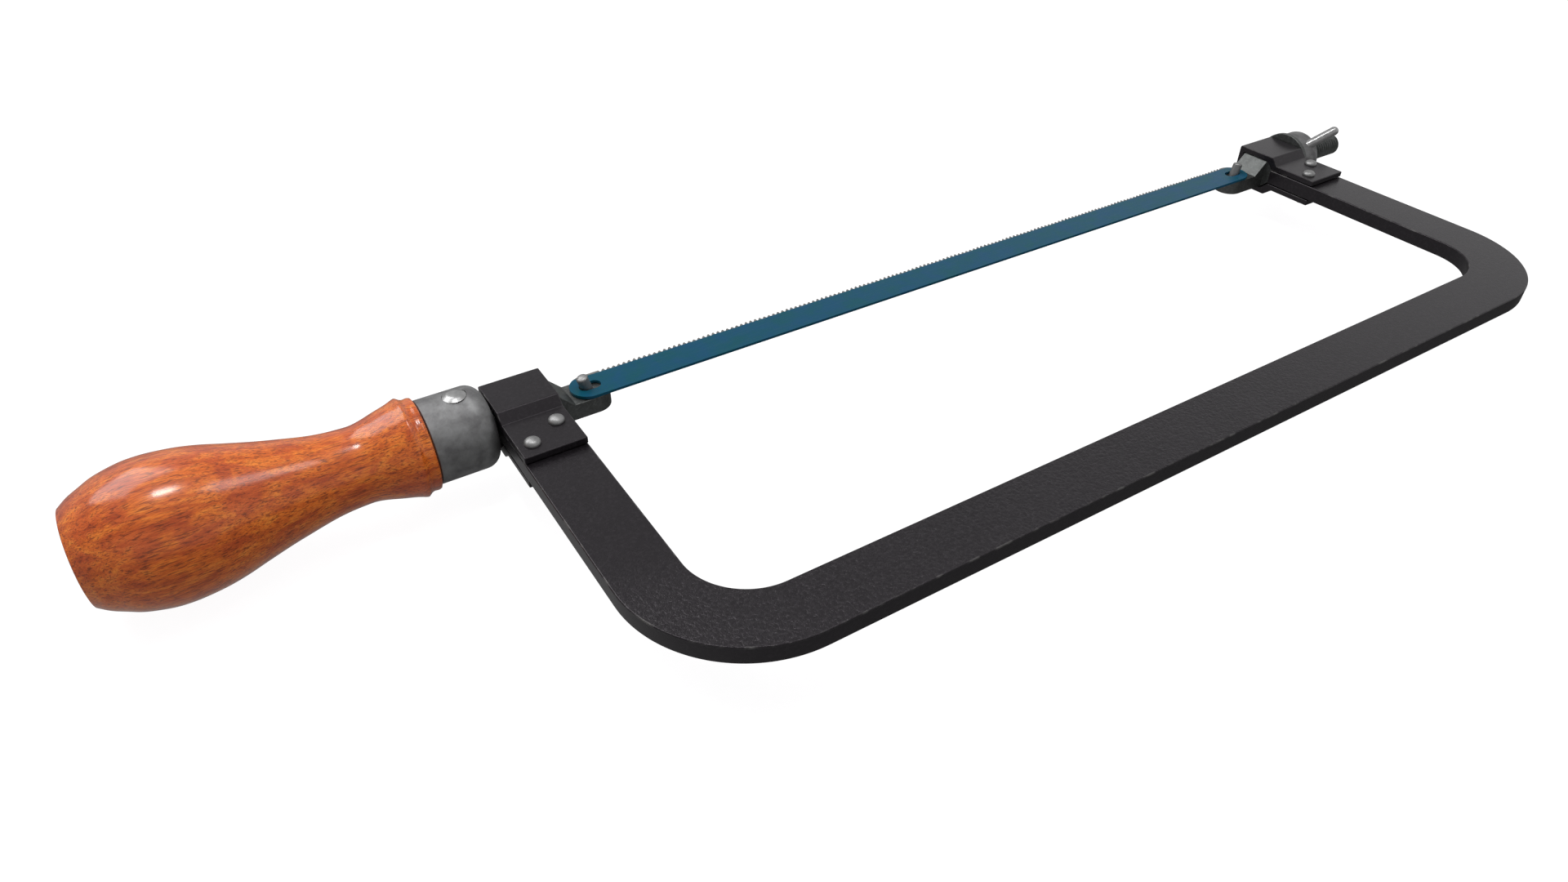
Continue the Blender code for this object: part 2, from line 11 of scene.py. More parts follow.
import bmesh
import bpy
from mathutils import Euler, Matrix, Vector


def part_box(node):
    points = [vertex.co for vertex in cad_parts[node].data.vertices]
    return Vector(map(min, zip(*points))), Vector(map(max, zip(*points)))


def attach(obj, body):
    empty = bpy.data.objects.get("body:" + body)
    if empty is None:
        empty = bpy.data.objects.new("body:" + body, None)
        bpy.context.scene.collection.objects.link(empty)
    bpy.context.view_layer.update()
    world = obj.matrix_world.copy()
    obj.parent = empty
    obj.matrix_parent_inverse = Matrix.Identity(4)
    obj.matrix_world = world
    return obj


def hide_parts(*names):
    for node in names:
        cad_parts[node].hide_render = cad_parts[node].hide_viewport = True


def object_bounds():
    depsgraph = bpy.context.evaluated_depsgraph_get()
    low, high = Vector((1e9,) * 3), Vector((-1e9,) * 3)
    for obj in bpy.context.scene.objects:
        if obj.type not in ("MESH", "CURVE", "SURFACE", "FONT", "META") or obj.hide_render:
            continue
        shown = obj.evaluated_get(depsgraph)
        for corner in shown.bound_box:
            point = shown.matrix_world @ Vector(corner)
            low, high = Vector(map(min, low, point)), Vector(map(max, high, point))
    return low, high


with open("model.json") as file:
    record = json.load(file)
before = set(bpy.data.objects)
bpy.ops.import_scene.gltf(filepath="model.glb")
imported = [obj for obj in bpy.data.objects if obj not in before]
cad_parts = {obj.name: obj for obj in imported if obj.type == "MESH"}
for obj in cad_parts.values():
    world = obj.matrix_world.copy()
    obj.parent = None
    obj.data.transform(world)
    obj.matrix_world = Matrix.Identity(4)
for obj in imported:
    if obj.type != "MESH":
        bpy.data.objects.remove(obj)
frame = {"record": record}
CAD_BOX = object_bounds()

MM = 0.001
RECORD = frame["record"]
BODY_OF = {node: body for body, nodes in RECORD["behaviour"]["bodies"].items() for node in nodes}


def centre(node):
    low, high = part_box(node)
    return (low + high) / 2


# The design's origin in the row frame, in metres
PULL_LINE = centre("tension_washer")
ORIGIN = Vector((centre("frame_bar").x, PULL_LINE.y, PULL_LINE.z))


def span(node):
    """Lowest and highest corner of a CAD node, on the design's axes."""
    return [(corner - ORIGIN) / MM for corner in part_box(node)]


def middle(node):
    low, high = span(node)
    return (low + high) / 2


# Frame bar
BAR_WIDTH = 19.1
INNER_CORNER_RADIUS = 19.2
BAR_EDGE = 0.45
BAR_EDGE_STEPS = 3
BAR_PEEL_DEPTH = 0.26

# Where the paint's orange peel is heaviest: near the rear corner, and on the wide faces only
PEEL_FADES_X = (90.0, -60.0)
PEEL_FADES_Y = (-70.0, -100.0)
PEEL_STARTS_Z = (2.3, 2.7)
PEEL_LIGHTEST = 0.12  # what is left of it elsewhere, as a part of its full depth

# Straps
STRAP_PEEL_DEPTH = 0.03
SHEET = 2.2
SOCKET_HALF = 5.95
STRAP_SLOPE_TOP_Y = -8.2
STRAP_SLOPE_FOOT_Y = -11.2
STRAP_INNER_FOOT_Y = -8.9
STRAP_GAP = 0.3
STRAP_EDGE = 0.3
FOLD_RADIUS = 0.9
FOLD_INNER_RADIUS = 0.4
CUT_RADIUS = 0.35

# Strap rivets
RIVET_RIM = 0.3
RIVET_RIM_SLOPE = (0.12, 0.1)  # how far the rim's foot is drawn in, and how high

# Blade holders
HOLDER_HALF = 5.65
WEDGE_Y = -8.6
WEDGE_HALF = 2.75
TAB_END_X = 142.85
HOLDER_EDGE = 0.4
REAR_BLOCK_END_X = 180.4
FRONT_BLOCK_END_X = 175.0
FRONT_SHOULDER_SHIFT = 0.75
TANG_FRONT_HALF = 3.7
TANG_END_HALF = 2.0
TANG_OVERLAP = 4.0

# Blade pins
PIN_SPAN = 299.8
PIN_RADIUS = 1.85
PIN_LEAN = math.radians(15.3)
PIN_ABOVE_TAB = 5.4
PIN_DOME = 0.8
PIN_CHAMFER = 0.2
PIN_RECESS = 0.3
PIN_FIT = 0.03

# Threaded stud. The pitch is assumed, and agrees with the record's coupling
STUD_RADIUS = 4.6
THREAD_PITCH = 1.5
THREAD_DEPTH = 0.8
THREAD_CREST = (0.16, 0.46, 0.62, 0.92)  # root, crest, crest and root again, as parts of the pitch
THREAD_START_X = 183.5
STUD_CHAMFER = 0.9
SHANK_RADIUS = 3.6
SHANK_OVERLAP = 1.0

# Washer
WASHER_BORE_GAP = 0.2
WASHER_EDGE = 0.25

# Wing nut
HUB_BORE_GAP = 0.1
HUB_EDGE = 0.7
WING_RADIUS = 1.9
WING_LEAN = math.radians(47.5)
WING_TURN = math.radians(51.7)
WING_ROOT_X = 190.0
WING_DEPTH = 3.0
WING_REACH = 9.85

# Ferrule and the rivet through the tang
FERRULE_WALL = 1.4
FERRULE_ROUND = 5.0
FERRULE_LIP = 0.35
TANG_HOLE = 5.53
SPOT_FACE_Z = 12.2
SPOT_FACE_RADIUS = 3.55
TANG_RIVET_RADIUS = 1.6
BURR_GAP = 0.05
BURR_EDGE = 0.2
TAIL_INSET = 0.4

# The button head's outline: up its rim above the spot face, then in over its top below the highest point
BUTTON_RIM = ((0.0, -0.1), (0.1, 0.0), (0.5, 0.0))
BUTTON_TOP = ((0.28, 0.72), (0.12, 0.6), (0.03, 0.4), (0.0, 0.0))

# Handle, as (x, radius) along its turned outline from the butt to the lip at the ferrule
HANDLE_BODY = (
    (-290.7, 13.7),
    (-288.0, 15.6),
    (-284.8, 17.15),
    (-281.6, 18.6),
    (-278.0, 19.6),
    (-274.0, 20.35),
    (-270.0, 20.55),
    (-266.0, 20.35),
    (-261.0, 19.75),
    (-256.0, 18.7),
    (-250.0, 17.0),
    (-243.0, 15.1),
    (-237.0, 13.7),
    (-231.0, 12.4),
    (-226.5, 11.75),
    (-222.0, 11.45),
    (-218.8, 11.45),
    (-215.8, 12.0),
    (-212.0, 13.05),
    (-208.0, 14.1),
    (-205.4, 15.0),
    (-204.7, 14.8),
    (-204.0, 14.3),
    (-203.1, 14.0),
    (-201.9, 14.1),
    (-201.1, 13.9),
)
HANDLE_BUTT_RADIUS = 12.6
HANDLE_BUTT_RIM = ((0.0, -1.2), (0.02, -0.4), (0.1, 0.3))
HANDLE_FRONT_X = -200.8
HANDLE_LIP_DROP = 0.6
SPIGOT_GAP = 0.1

# Blade
TOOTH_PITCH = 25.4 / 14
TOOTH_HEIGHT = 1.05
TOOTH_HOOK = 0.1
TOOTH_BACK = 0.74
TOOTH_BACK_POWER = 2.3
TOOTH_BACK_STEPS = 5
TOOTH_COUNT = 161
TEETH_REAR_X = -143.1
TOOTH_ROOT = 0.8
TOOTH_SET = 0.12
TEETH_IN_A_WAVE = 8
BLADE_END_STEP = 0.15
BLADE_HOLE_LENGTH = 7.1
BLADE_HOLE_WIDTH = 4.3

# Paper sweep, in metres
SWEEP_RADIUS = 5.0
SWEEP_BEND = 1.5
SWEEP_WALL = 8.0

# Brightness of the studio dome, as (how far up, from -1 below to 1 overhead, level)
DOME_LEVELS = (
    (-1.0, 0.34),
    (-0.1, 0.29),
    (0.08, 0.66),
    (0.36, 0.78),
    (0.50, 0.64),
    (0.68, 0.48),
    (0.86, 0.64),
    (1.0, 0.9),
)

# The dome's strength from its handle side to its wing nut side, above and below the horizon's band.
# DOME_HORIZON is that band, as how far up it starts and ends
DOME_ABOVE = (0.55, 1.06)
DOME_BELOW = (1.25, 0.25)
DOME_HORIZON = (-0.15, 0.05)

# Soft boxes in metres from the design's origin, as (name, place, target, side lengths, watts)
SOFT_BOXES = (
    ("overhead_box", (-0.21, -0.01, 0.9), (-0.21, 0.0, 0.0), (0.13, 0.13), 2.0),
    ("back_left_box", (-0.5, 0.6, 0.8), (0.0, 0.0, 0.0), (0.7, 0.6), 5.2),
    ("right_box", (0.22, -0.16, 0.88), (-0.2, 0.0, 0.0), (0.25, 0.25), 1.0),
)

# Camera, at the photograph's viewing angle
CAMERA_LENS = 24.444
CAMERA_SENSOR = 36.0
CAMERA_PLACE = (-242.32, -262.22, 190.79)
CAMERA_TILT = 52.108
CAMERA_PAN = -32.122

# How finely round shapes are divided
ROUND_HANDLE = 160
ROUND_RING = 96
ROUND_STUD = 64
ROUND_SMALL = 40
CORNER_STEPS = 40
HOLE_STEPS = 12
SHARP = math.radians(32)
TINY = 1e-6


# ---------------------------------------------------------------- mesh building


def arc(middle_point, radius, start, end, steps):
    """Points on a circle from one angle to another, in degrees, both ends included."""
    angles = [math.radians(start + (end - start) * i / steps) for i in range(steps + 1)]
    return [(middle_point[0] + radius * math.cos(a), middle_point[1] + radius * math.sin(a))
            for a in angles]


def filleted(corners, steps=5):
    """A closed outline from (u, v, radius) corners, each rounded to its radius."""
    outline = []
    for i, (u, v, radius) in enumerate(corners):
        point = Vector((u, v))
        back = (Vector(corners[i - 1][:2]) - point).normalized()
        ahead = (Vector(corners[(i + 1) % len(corners)][:2]) - point).normalized()
        half_angle = back.angle(ahead) / 2
        reach = radius / math.tan(half_angle)
        hub = point + (back + ahead).normalized() * radius / math.sin(half_angle)
        first = point + back * reach - hub
        last = point + ahead * reach - hub
        for step in range(steps + 1):
            spoke = first.lerp(last, step / steps).normalized() * radius
            outline.append(tuple(hub + spoke))
    return outline


def prism(outline, low, high):
    """A closed outline of (y, z) points, extruded along x from low to high."""
    bm = bmesh.new()
    near = [bm.verts.new((low, y, z)) for y, z in outline]
    far = [bm.verts.new((high, y, z)) for y, z in outline]
    bm.faces.new(near)
    bm.faces.new(reversed(far))
    for i, vert in enumerate(near):
        after = (i + 1) % len(near)
        bm.faces.new((vert, near[after], far[after], far[i]))
    return bm


def turned(outline, segments, closed=False):
    """Spins (x, radius) points about the x axis. A closed outline is a ring's section."""
    bm = bmesh.new()
    angles = [math.tau * i / segments for i in range(segments)]
    rings = []
    for x, radius in outline:
        if radius < TINY:
            rings.append([bm.verts.new((x, 0, 0))])
        else:
            spokes = [(radius * math.cos(a), radius * math.sin(a)) for a in angles]
            rings.append([bm.verts.new((x, y, z)) for y, z in spokes])
    pairs = list(zip(rings, rings[1:]))
    if closed:
        pairs.append((rings[-1], rings[0]))
    for ring, after in pairs:
        for i in range(segments):
            j = (i + 1) % segments
            near = (ring[i % len(ring)], ring[j % len(ring)])
            far = (after[j % len(after)], after[i % len(after)])
            bm.faces.new(dict.fromkeys(near + far))
    return bm


def dome(base_x, height, radius, steps):
    """(x, radius) points of a low dome, from its rim to its top on the axis."""
    angles = [math.pi / 2 * i / steps for i in range(steps)]
    side = [(base_x + height * math.sin(a), radius * math.cos(a)) for a in angles]
    return side + [(base_x + height, 0)]


def ring_section(start, end, inner, outer, edge, steps=4):
    """The section of a ring with rounded outer edges, as (x, radius)."""
    section = [(start, inner)]
    section += arc((start + edge, outer - edge), edge, 180, 90, steps)
    section += arc((end - edge, outer - edge), edge, 90, 0, steps)
    return section + [(end, inner)]


def smooth_outline(points, steps):
    """A Catmull-Rom curve through (x, radius) points."""
    ends = [points[0], *points, points[-1]]
    curve = []
    for before, start, end, after in zip(ends, ends[1:], ends[2:], ends[3:]):
        for i in range(steps):
            t = i / steps
            curve.append(tuple(
                0.5 * (2 * b + (c - a) * t + (2 * a - 5 * b + 4 * c - d) * t**2
                       + (3 * b - a - 3 * c + d) * t**3)
                for a, b, c, d in zip(before, start, end, after)
            ))
    return curve + [points[-1]]


def moved(bm, place=(0, 0, 0), direction=None):
    """Turns a turned piece's x axis to a direction, and then puts it in its place."""
    if direction is not None:
        turn = Vector(direction).to_track_quat("X", "Z").to_matrix().to_4x4()
        bmesh.ops.transform(bm, matrix=turn, verts=bm.verts)
    bmesh.ops.translate(bm, verts=bm.verts, vec=place)
    return bm


def temporary(bm):
    """An object that a Boolean can use, made from a bmesh and removed again by combined."""
    bmesh.ops.recalc_face_normals(bm, faces=bm.faces)
    mesh = bpy.data.meshes.new("temporary")
    bm.to_mesh(mesh)
    bm.free()
    obj = bpy.data.objects.new("temporary", mesh)
    bpy.context.scene.collection.objects.link(obj)
    return obj


def combined(bm, tools, operation="DIFFERENCE"):
    """A bmesh after a Boolean with each of the other bmeshes, all of which it uses up."""
    obj = temporary(bm)
    helpers = [temporary(tool) for tool in tools]
    for helper in helpers:
        modifier = obj.modifiers.new("boolean", "BOOLEAN")
        modifier.operation = operation
        modifier.solver = "EXACT"
        modifier.object = helper
    graph = bpy.context.evaluated_depsgraph_get()
    result = bmesh.new()
    result.from_object(obj, graph)
    for used in (obj, *helpers):
        mesh = used.data
        bpy.data.objects.remove(used)
        bpy.data.meshes.remove(mesh)
    return result


def add_piece(name, bm, node, material, stands_for=True, bevel=0.0):
    """Makes a piece from a bmesh in millimetres. It rides on the CAD node's body and may replace the node."""
    bmesh.ops.recalc_face_normals(bm, faces=bm.faces)
    bmesh.ops.scale(bm, vec=(MM, MM, MM), verts=bm.verts)
    bmesh.ops.translate(bm, verts=bm.verts, vec=ORIGIN)
    mesh = bpy.data.meshes.new(name)
    bm.to_mesh(mesh)
    bm.free()
    mesh.shade_smooth()
    mesh.set_sharp_from_angle(angle=SHARP)
    mesh.materials.append(material)
    obj = bpy.data.objects.new(name, mesh)
    bpy.context.scene.collection.objects.link(obj)
    if bevel:
        edges = obj.modifiers.new("edges", "BEVEL")
        edges.width = bevel * MM
        edges.segments = 3
        edges.limit_method = "ANGLE"
        edges.angle_limit = SHARP
    shading = obj.modifiers.new("flat faces stay flat", "WEIGHTED_NORMAL")
    shading.keep_sharp = True
    shading.weight = 60
    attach(obj, BODY_OF[node])
    if stands_for:
        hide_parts(node)


def mark_worn_and_highlit_edges(bm, chosen):
    """Sets the face attribute that the paint reads as a worn edge with a painted highlight, on the chosen
    faces.
    """
    bm.faces.index_update()
    numbers = {face.index for face in chosen}
    layer = bm.faces.layers.float.new("worn_and_highlit_edges")
    for face in bm.faces:
        face[layer] = float(face.index in numbers)


# ---------------------------------------------------------------- pieces


def bar_stations():
    """(point, outward direction) down the rear arm, along the spine and up the front arm."""
    low, high = span("frame_bar")
    outer_x, arm_end, spine_outer = high.x, high.y, low.y
    reach = INNER_CORNER_RADIUS + BAR_WIDTH / 2
    corner_x = outer_x - BAR_WIDTH - INNER_CORNER_RADIUS
    corner_y = spine_outer + BAR_WIDTH + INNER_CORNER_RADIUS
    arm_steps, spine_steps = 6, 24
    stations = []
    for i in range(arm_steps):
        y = arm_end + (corner_y - arm_end) * i / arm_steps
        stations.append((Vector((-corner_x - reach, y)), Vector((-1, 0))))
    for side, start in ((-1, 180), (1, 270)):
        for step in range(CORNER_STEPS + 1):
            a = math.radians(start + 90 * step / CORNER_STEPS)
            outward = Vector((math.cos(a), math.sin(a)))
            stations.append((Vector((side * corner_x, corner_y)) + outward * reach, outward))
        if side < 0:
            for i in range(1, spine_steps):
                x = corner_x * (2 * i / spine_steps - 1)
                stations.append((Vector((x, corner_y - reach)), Vector((0, -1))))
    for i in range(1, arm_steps + 1):
        y = corner_y + (arm_end - corner_y) * i / arm_steps
        stations.append((Vector((corner_x + reach, y)), Vector((1, 0))))
    return stations


def make_frame_bar(material):
    """One flat bar with rounded long edges, swept round both corners."""
    half_thick = span("frame_bar")[1].z
    half_wide = BAR_WIDTH / 2
    corners = ((half_wide, half_thick), (-half_wide, half_thick), (-half_wide, -half_thick),
               (half_wide, -half_thick))
    section = filleted([(u, z, BAR_EDGE) for u, z in corners], BAR_EDGE_STEPS)
    bm = bmesh.new()
    rings = []
    for point, outward in bar_stations():
        rings.append([bm.verts.new((*(point + outward * u), z)) for u, z in section])
    worn_and_highlit_edges = []
    for ring, after in zip(rings, rings[1:]):
        for i in range(len(section)):
            j = (i + 1) % len(section)
            face = bm.faces.new((ring[i], ring[j], after[j], after[i]))
            # faces of the rounded long edges, which the paint lightens in patches: worn paint and a painted
            # edge highlight
            if i % (BAR_EDGE_STEPS + 1) < BAR_EDGE_STEPS:
                worn_and_highlit_edges.append(face)
    for ring in (rings[0], rings[-1]):
        bm.faces.new(ring)
    mark_worn_and_highlit_edges(bm, worn_and_highlit_edges)
    add_piece("flat_bar_bow", bm, "frame_bar", material)


def make_strap(node, material):
    """The folded sheet: a square loop, two slopes, and two tails that hold the arm between them."""
    low, high = span(node)
    outer = SOCKET_HALF + SHEET
    tail_y, tail_inner = low.y, span("frame_bar")[1].z + STRAP_GAP
    tail_top = tail_inner + SHEET
    outer_half = [
        (tail_y, tail_top, CUT_RADIUS),
        (STRAP_SLOPE_FOOT_Y, tail_top, FOLD_INNER_RADIUS),
        (STRAP_SLOPE_TOP_Y, outer, FOLD_RADIUS),
        (outer, outer, FOLD_RADIUS),
    ]
    inner_half = [
        (SOCKET_HALF, SOCKET_HALF, FOLD_INNER_RADIUS),
        (-SOCKET_HALF, SOCKET_HALF, FOLD_INNER_RADIUS),
        (STRAP_INNER_FOOT_Y, tail_inner, FOLD_INNER_RADIUS),
        (tail_y, tail_inner, CUT_RADIUS),
    ]
    corners = outer_half + [(y, -z, r) for y, z, r in reversed(outer_half)]
    corners += [(y, -z, r) for y, z, r in reversed(inner_half)] + inner_half
    bm = prism(filleted(corners), low.x, high.x)
    bmesh.ops.recalc_face_normals(bm, faces=bm.faces)
    ends = [edge for edge in bm.edges if abs(edge.verts[0].co.x - edge.verts[1].co.x) < TINY]
    made = bmesh.ops.bevel(bm, geom=ends, offset=STRAP_EDGE, segments=3, profile=0.5, affect="EDGES",
                           clamp_overlap=True)
    # the bevelled cut ends take the same lighter patches: worn paint and a painted edge highlight
    mark_worn_and_highlit_edges(bm, made["faces"])
    add_piece(f"folded_{node}", bm, node, material)


def make_strap_rivets(material):
    """Low domes on both faces of each strap."""
    low, high = span("front_strap_rivet_upper")
    radius = (high.x - low.x) / 2
    base = span("frame_bar")[1].z + STRAP_GAP + SHEET
    inset, rise = RIVET_RIM_SLOPE
    half = [(base, radius - inset), (base + rise, radius)]
    half += dome(base + RIVET_RIM, high.z - base - RIVET_RIM, radius, 9)
    outline = [(-x, r) for x, r in reversed(half)] + half
    for strap in ("rear", "front"):
        for row in ("upper", "lower"):
            node = f"{strap}_strap_rivet_{row}"
            rivet = moved(turned(outline, ROUND_SMALL), middle(node), (0, 0, 1))
            add_piece(f"domed_{node}", rivet, node, material)


def holder_block(shoulder_x, block_end_x):
    """Tab, 45 degree shoulder and socket block in one piece, drawn for the +x end of the saw."""
    half = HOLDER_HALF
    side = [
        (TAB_END_X, -half),
        (TAB_END_X, 0),
        (shoulder_x - half, 0),
        (shoulder_x, half),
        (shoulder_x, -half),
    ]
    bm = bmesh.new()
    near = [bm.verts.new((x, -half, z)) for x, z in side]
    far = [bm.verts.new((x, half, z)) for x, z in side]
    bm.faces.new(near)
    bm.faces.new(far)
    for i, after in ((0, 1), (1, 2), (2, 3), (4, 0)):
        bm.faces.new((near[i], near[after], far[after], far[i]))
    wedge = [bm.verts.new((shoulder_x, WEDGE_Y, z)) for z in (WEDGE_HALF, -WEDGE_HALF)]
    ring = [near[3], far[3], far[4], near[4], wedge[1], wedge[0]]
    bm.faces.new((near[3], near[4], wedge[1], wedge[0]))
    back = [bm.verts.new((block_end_x, vert.co.y, vert.co.z)) for vert in ring]
    for i, vert in enumerate(ring):
        after = (i + 1) % len(ring)
        bm.faces.new((vert, ring[after], back[after], back[i]))
    bm.faces.new(back)
    bm.edges.ensure_lookup_table()
    tip_edges = [bm.edges.get(near[:2]), bm.edges.get(far[:2])]
    bmesh.ops.bevel(bm, geom=tip_edges, offset=half * 0.999, segments=14, affect="EDGES", profile=0.5)
    return bm


def pin_axis(side):
    """Up along a blade pin, which leans away from the middle of the blade; side is -1 at the rear."""
    return Vector((side * math.sin(PIN_LEAN), 0, math.cos(PIN_LEAN)))


def pin_hole(side):
    """A drill along a blade pin, right through its tab."""
    reach = 3 * HOLDER_HALF
    radius = PIN_RADIUS + PIN_FIT
    outline = [(-reach, 0), (-reach, radius), (reach, radius), (reach, 0)]
    return moved(turned(outline, ROUND_SMALL), (side * PIN_SPAN / 2, 0, 0), pin_axis(side))


def tang():
    """The square tapered tang behind the rear block."""
    end = span("rear_blade_holder")[0].x
    bm = bmesh.new()
    rings = []
    for x, half in ((TANG_OVERLAP - REAR_BLOCK_END_X, TANG_FRONT_HALF), (end, TANG_END_HALF)):
        corners = ((-half, -half), (half, -half), (half, half), (-half, half))
        rings.append([bm.verts.new((x, y, z)) for y, z in corners])
    for ring in rings:
        bm.faces.new(ring)
    for i in range(4):
        after = (i + 1) % 4
        bm.faces.new((rings[0][i], rings[0][after], rings[1][after], rings[1][i]))
    return bm


def make_holders(steel):
    """The rear block with its tang, and the front block, each drilled for its pin."""
    arm_inner = span("frame_bar")[1].x - BAR_WIDTH
    rear = holder_block(arm_inner, REAR_BLOCK_END_X)
    bmesh.ops.scale(rear, vec=(-1, 1, 1), verts=rear.verts)
    rear = combined(rear, [tang()], "UNION")
    rear = combined(rear, [pin_hole(-1)])
    add_piece("rear_tab_and_tang", rear, "rear_blade_holder", steel, bevel=HOLDER_EDGE)
    shoulder = arm_inner + FRONT_SHOULDER_SHIFT
    front = combined(holder_block(shoulder, FRONT_BLOCK_END_X), [pin_hole(1)])
    add_piece("front_tab_block", front, "front_blade_holder", steel, bevel=HOLDER_EDGE)


def make_stud(steel):
    """A plain shank out of the front block, and a helical thread to its chamfered end."""
    end = span("front_blade_holder")[1].x
    root = STUD_RADIUS - THREAD_DEPTH
    radii = (root, STUD_RADIUS, STUD_RADIUS, root)
    profile = ((0.0, root), *zip(THREAD_CREST, radii))
    turns = math.ceil((end - THREAD_START_X) / THREAD_PITCH) + 4
    bm = bmesh.new()
    grid = []
    for turn in range(-2, turns - 2):
        for part, radius in profile:
            row = []
            for i in range(ROUND_STUD):
                a = math.tau * i / ROUND_STUD
                x = THREAD_START_X + THREAD_PITCH * (turn + part + i / ROUND_STUD)
                row.append(bm.verts.new((x, radius * math.cos(a), radius * math.sin(a))))
            grid.append(row)
    step = len(profile)
    for r in range(len(grid) - step - 1):
        for i in range(ROUND_STUD - 1):
            bm.faces.new((grid[r][i], grid[r][i + 1], grid[r + 1][i + 1], grid[r + 1][i]))
        bm.faces.new((grid[r][-1], grid[r + step][0], grid[r + step + 1][0], grid[r + 1][-1]))
    for x, normal, cut in ((THREAD_START_X, -1, True), (end - STUD_CHAMFER, 1, False), (end, 1, True)):
        everything = bm.verts[:] + bm.edges[:] + bm.faces[:]
        bmesh.ops.bisect_plane(bm, geom=everything, dist=TINY, plane_co=(x, 0, 0),
                               plane_no=(normal, 0, 0), clear_outer=cut)
    for vert in bm.verts:
        radius = math.hypot(vert.co.y, vert.co.z)
        limit = STUD_RADIUS - STUD_CHAMFER + end - vert.co.x
        if radius > limit:
            vert.co.y *= limit / radius
            vert.co.z *= limit / radius
    bmesh.ops.holes_fill(bm, edges=[edge for edge in bm.edges if len(edge.link_faces) == 1])
    add_piece("threaded_tension_stud", bm, "front_blade_holder", steel, stands_for=False)
    inside, outside = FRONT_BLOCK_END_X - SHANK_OVERLAP, THREAD_START_X + SHANK_OVERLAP
    outline = [(inside, 0), (inside, SHANK_RADIUS), (outside, SHANK_RADIUS), (outside, 0)]
    shank = turned(outline, ROUND_STUD)
    add_piece("tension_stud_shank", shank, "front_blade_holder", steel, stands_for=False)


def make_pins(material):
    """Two dome-ended pins that lean apart, each recessed under its tab."""
    top = PIN_ABOVE_TAB / math.cos(PIN_LEAN)
    bottom = -(HOLDER_HALF - PIN_RECESS) / math.cos(PIN_LEAN)
    outline = [(bottom, 0), (bottom, PIN_RADIUS - PIN_CHAMFER), (bottom + PIN_CHAMFER, PIN_RADIUS)]
    outline += dome(top - PIN_DOME, PIN_DOME, PIN_RADIUS, 9)
    for end, side in (("rear", -1), ("front", 1)):
        pin = moved(turned(outline, ROUND_SMALL), (side * PIN_SPAN / 2, 0, 0), pin_axis(side))
        add_piece(f"leaning_{end}_pin", pin, f"{end}_blade_pin", material)


def tooth_row(first, count, gullet):
    """The toothed edge as (x, y, share of the set), from +x to -x, each steep face before its back."""
    points = []
    for i in range(count):
        root = first - i * TOOTH_PITCH
        lean = math.sin(math.tau * i / TEETH_IN_A_WAVE)
        points.append((root, gullet, 0))
        for step in range(TOOTH_BACK_STEPS + 1):
            s = step / TOOTH_BACK_STEPS
            x = root - TOOTH_PITCH * (TOOTH_HOOK + (TOOTH_BACK - TOOTH_HOOK) * s)
            points.append((x, gullet + TOOTH_HEIGHT * (1 - s**TOOTH_BACK_POWER), lean))
    points.append((first - count * TOOTH_PITCH, gullet, 0))
    return points


def slot_edges(bm, side, top_z):
    """Edges of the oblong hole that a pin goes through, open towards the middle of the blade."""
    end_radius = BLADE_HOLE_WIDTH / 2
    outer = PIN_SPAN / 2 + math.tan(PIN_LEAN) * top_z + PIN_RADIUS / math.cos(PIN_LEAN) + PIN_RECESS
    inner = outer - BLADE_HOLE_LENGTH
    points = arc((outer - end_radius, 0), end_radius, -90, 90, HOLE_STEPS)
    points += arc((inner + end_radius, 0), end_radius, 90, 270, HOLE_STEPS)
    verts = [bm.verts.new((side * x, y, 0)) for x, y in points]
    return [bm.edges.new((vert, verts[(i + 1) % len(verts)])) for i, vert in enumerate(verts)]


def make_blade(material):
    """A flat outline with its toothed edge and slots, filled, thickened and given its wavy set."""
    low, high = span("blade")
    half, back, tips = high.x, low.y, high.y
    gullet = tips - TOOTH_HEIGHT
    radius = (tips - BLADE_END_STEP - back) / 2
    middle_y = back + radius
    first = TEETH_REAR_X + TOOTH_COUNT * TOOTH_PITCH
    teeth = tooth_row(first, TOOTH_COUNT, gullet)
    bm = bmesh.new()
    bend = bm.verts.layers.float.new("bend")
    edge_row = []
    for x, y, lean in teeth:
        vert = bm.verts.new((x, y, 0))
        vert[bend] = lean * TOOTH_SET * (y - gullet) / TOOTH_HEIGHT
        edge_row.append(vert)
    base_row = [bm.verts.new((x, gullet - TOOTH_ROOT, 0)) for x, _, _ in teeth]
    for i in range(len(teeth) - 1):
        bm.faces.new((base_row[i], base_row[i + 1], edge_row[i + 1], edge_row[i]))
    front_end = arc((half - radius, middle_y), radius, -90, 90, CORNER_STEPS)
    rear_end = arc((radius - half, middle_y), radius, 90, 270, CORNER_STEPS)
    front = [bm.verts.new((x, y, 0)) for x, y in front_end]
    rear = [bm.verts.new((x, y, 0)) for x, y in rear_end]
    shoulder = bm.verts.new((TEETH_REAR_X - TOOTH_HOOK * TOOTH_PITCH, middle_y + radius, 0))
    loop = front + [edge_row[0]] + base_row + [edge_row[-1], shoulder] + rear
    outline = []
    for i, vert in enumerate(loop):
        pair = (vert, loop[(i + 1) % len(loop)])
        outline.append(bm.edges.get(pair) or bm.edges.new(pair))
    for side in (-1, 1):
        outline += slot_edges(bm, side, high.z)
    bmesh.ops.triangle_fill(bm, edges=outline, use_beauty=True)
    grown = bmesh.ops.extrude_face_region(bm, geom=bm.faces[:])
    top = [item for item in grown["geom"] if isinstance(item, bmesh.types.BMVert)]
    bmesh.ops.translate(bm, verts=top, vec=(0, 0, high.z - low.z))
    for vert in bm.verts:
        vert.co.z += low.z + vert[bend]
    add_piece("toothed_blade", bm, "blade", material)


